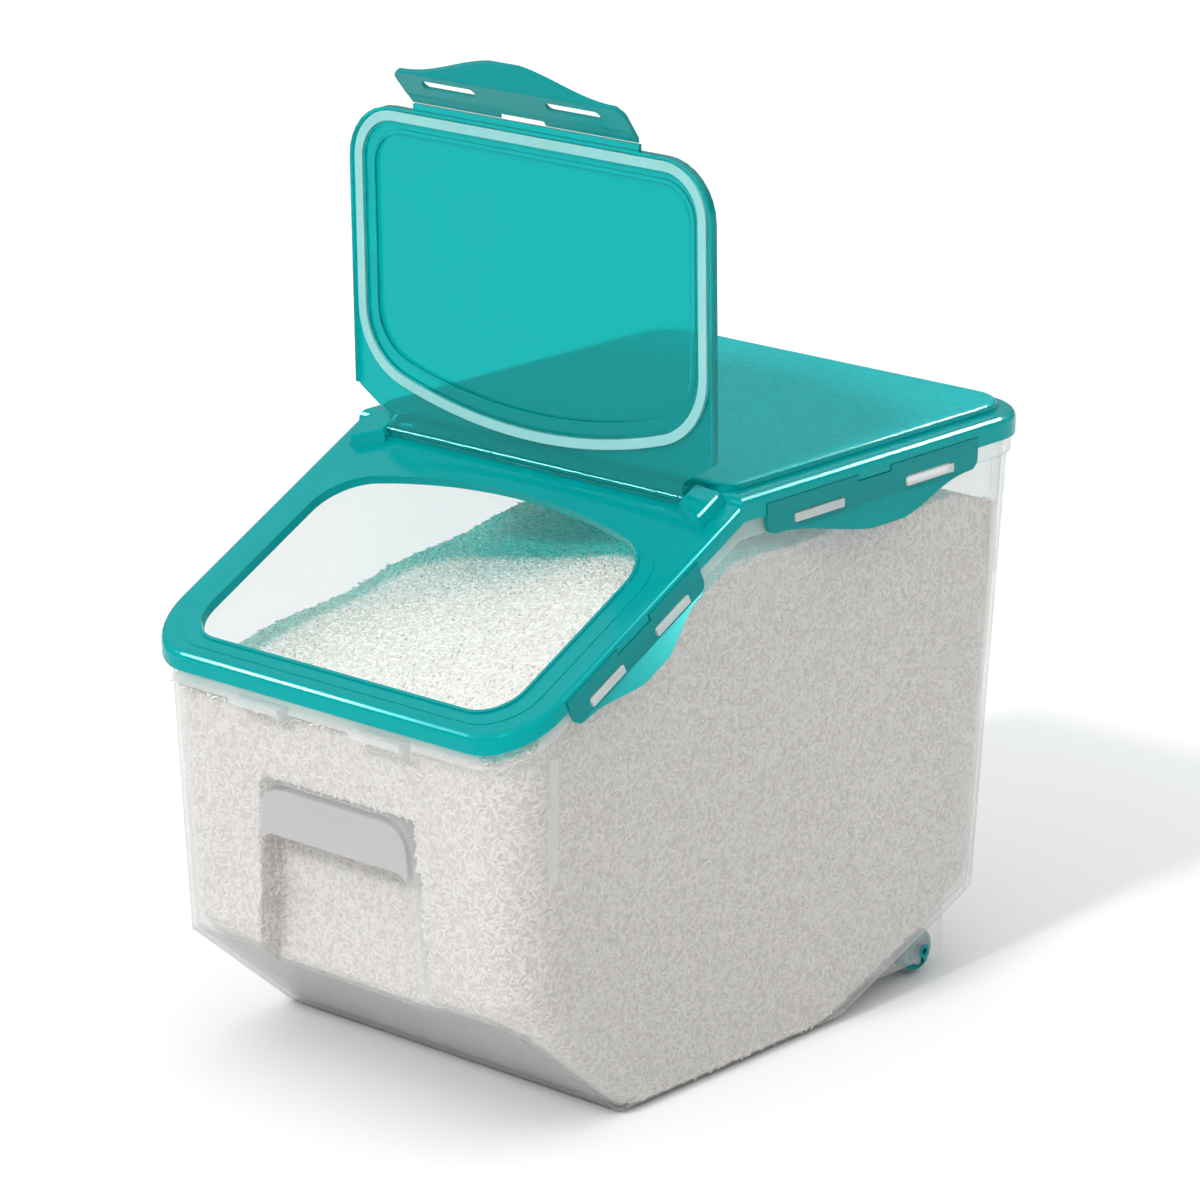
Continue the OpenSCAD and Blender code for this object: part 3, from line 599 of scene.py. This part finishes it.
def rice():
    """The bed of rice and its outer grains, split by the side that they face."""
    bed = rice_bed(rice_bed_material())
    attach(bed, "bin")
    places, normals = sample_surface(bed)
    grain_look = rice_material()
    nx, ny, nz = normals[:, 0], normals[:, 1], normals[:, 2]
    on_top = nz > 0.6
    upright = ~on_top & (nz > -0.3)
    slanted = (nz <= -0.3) & (nz > -0.97)
    groups = {
        "rice_top": on_top & (places[:, 1] < TOP_SPLIT_Y),
        "rice_top_rear": on_top & (places[:, 1] >= TOP_SPLIT_Y),
        "rice_right": upright & (nx > 0.7) & (places[:, 1] < SIDE_SPLIT_Y),
        "rice_right_rear": upright & (nx > 0.7) & (places[:, 1] >= SIDE_SPLIT_Y),
        "rice_left": upright & (nx < -0.7),
        "rice_front": upright & (np.abs(nx) <= 0.7) & (ny < 0),
        "rice_rear": upright & (np.abs(nx) <= 0.7) & (ny >= 0),
        "rice_under": slanted,
    }
    for name, chosen in groups.items():
        loose = 0.25 if "top" in name else 0.1
        fine = name in FINE_GRAINS
        piece = grains(name, places[chosen], normals[chosen], loose, fine, grain_look)
        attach(piece, "bin")


def dress(node, material):
    piece = NODES[node]
    piece.data.materials.clear()
    piece.data.materials.append(material)
    piece.data.shade_smooth()
    piece.data.set_sharp_from_angle(angle=SHARP_OVER)


def plastics():
    dress("bin_body", clear_plastic())
    dress("lid_frame", lid_plastic())
    dress("flip_door", teal_plastic("teal_door"))
    flap = teal_plastic("teal_flap")
    for node in NODES:
        if "latch" in node:
            dress(node, flap)
    wheel = teal_plastic("teal_wheel")
    dress("wheel_left", wheel)
    dress("wheel_right", wheel)
    ring = silicone()
    dress("door_gasket", ring)
    dress("lid_gasket", ring)


def camera():
    data = bpy.data.cameras.new("photo_camera")
    data.sensor_fit = "HORIZONTAL"
    data.sensor_width = SENSOR_MM
    data.lens = FOCAL_PX/PHOTO_PX*SENSOR_MM
    data.clip_end = 20
    look = Vector((
        -math.cos(YAW)*math.cos(PITCH), -math.sin(YAW)*math.cos(PITCH), -math.sin(PITCH),
    ))
    right = look.cross(Vector((0, 0, 1))).normalized()
    up = right.cross(look)
    turned_right = right*math.cos(ROLL) + up*math.sin(ROLL)
    turned_up = up*math.cos(ROLL) - right*math.sin(ROLL)
    place = Matrix((turned_right, turned_up, -look)).transposed().to_4x4()
    place.translation = Vector(CAMERA_AT)
    piece = bpy.data.objects.new("photo_camera", data)
    piece.matrix_world = place
    bpy.context.scene.collection.objects.link(piece)
    bpy.context.scene.camera = piece


def aimed(name, data, place, target):
    piece = bpy.data.objects.new(name, data)
    piece.location = place
    aim = Vector(target) - Vector(place)
    piece.rotation_euler = aim.to_track_quat("-Z", "Y").to_euler()
    bpy.context.scene.collection.objects.link(piece)
    return piece


def sun(name, place, strength, spread):
    """Even light from one side, as from a far soft box."""
    data = bpy.data.lights.new(name, "SUN")
    data.energy = strength
    data.angle = math.radians(spread)
    aimed(name, data, place, (0, 0, 0.15))


def strip(name, place, power):
    """A narrow box that only shows as a shine on the plastic's edges."""
    data = bpy.data.lights.new(name, "AREA")
    data.shape = "RECTANGLE"
    data.size, data.size_y = SHINE_SIZE
    data.energy = power
    piece = aimed(name, data, place, (0, 0, 0.25))
    piece.visible_diffuse = False
    piece.visible_camera = False
    piece.visible_transmission = False


def sky():
    """White overhead and dimmer towards the horizon, so that the glossy teal keeps its colour."""
    world = bpy.data.worlds.new("studio")
    world.use_nodes = True
    tree = world.node_tree
    coords = add(tree, "ShaderNodeTexCoord")
    height = parts_of(tree, coords.outputs["Generated"])[2]
    stops = [(0.0, (0.12, 0.12, 0.12)), (0.3, (0.3, 0.3, 0.3)), (0.75, (1, 1, 1))]
    shade = add(tree, "ShaderNodeValToRGB")
    elements = shade.color_ramp.elements
    elements.new(0.5)
    for element, (place, colour) in zip(elements, stops):
        element.position = place
        element.color = (*colour, 1)
    tree.links.new(height, shade.inputs["Fac"])
    tree.links.new(shade.outputs["Color"], tree.nodes["Background"].inputs["Color"])
    tree.nodes["Background"].inputs["Strength"].default_value = SKY
    bpy.context.scene.world = world


def studio():
    """Pale floor, an overhead sky and a key from the front."""
    material, tree, shader = node_tree("studio_floor")
    shader.inputs["Base Color"].default_value = (0.9, 0.9, 0.9, 1)
    shader.inputs["Roughness"].default_value = 0.9
    shader.inputs["Specular IOR Level"].default_value = 0.0
    size = 12
    floor = new_mesh(
        "studio_floor",
        np.array([(-size, -size, 0), (size, -size, 0), (size, size, 0), (-size, size, 0)]),
        [(0, 1, 2, 3)], material,
    )
    sky()
    sun("key", KEY_FROM, KEY, KEY_SPREAD)
    for name, place, power in SHINES:
        strip(name, place, power)
    bpy.context.scene.view_settings.view_transform = "Standard"
    bpy.context.scene.view_settings.look = "None"


camera()
studio()
plastics()
rice()
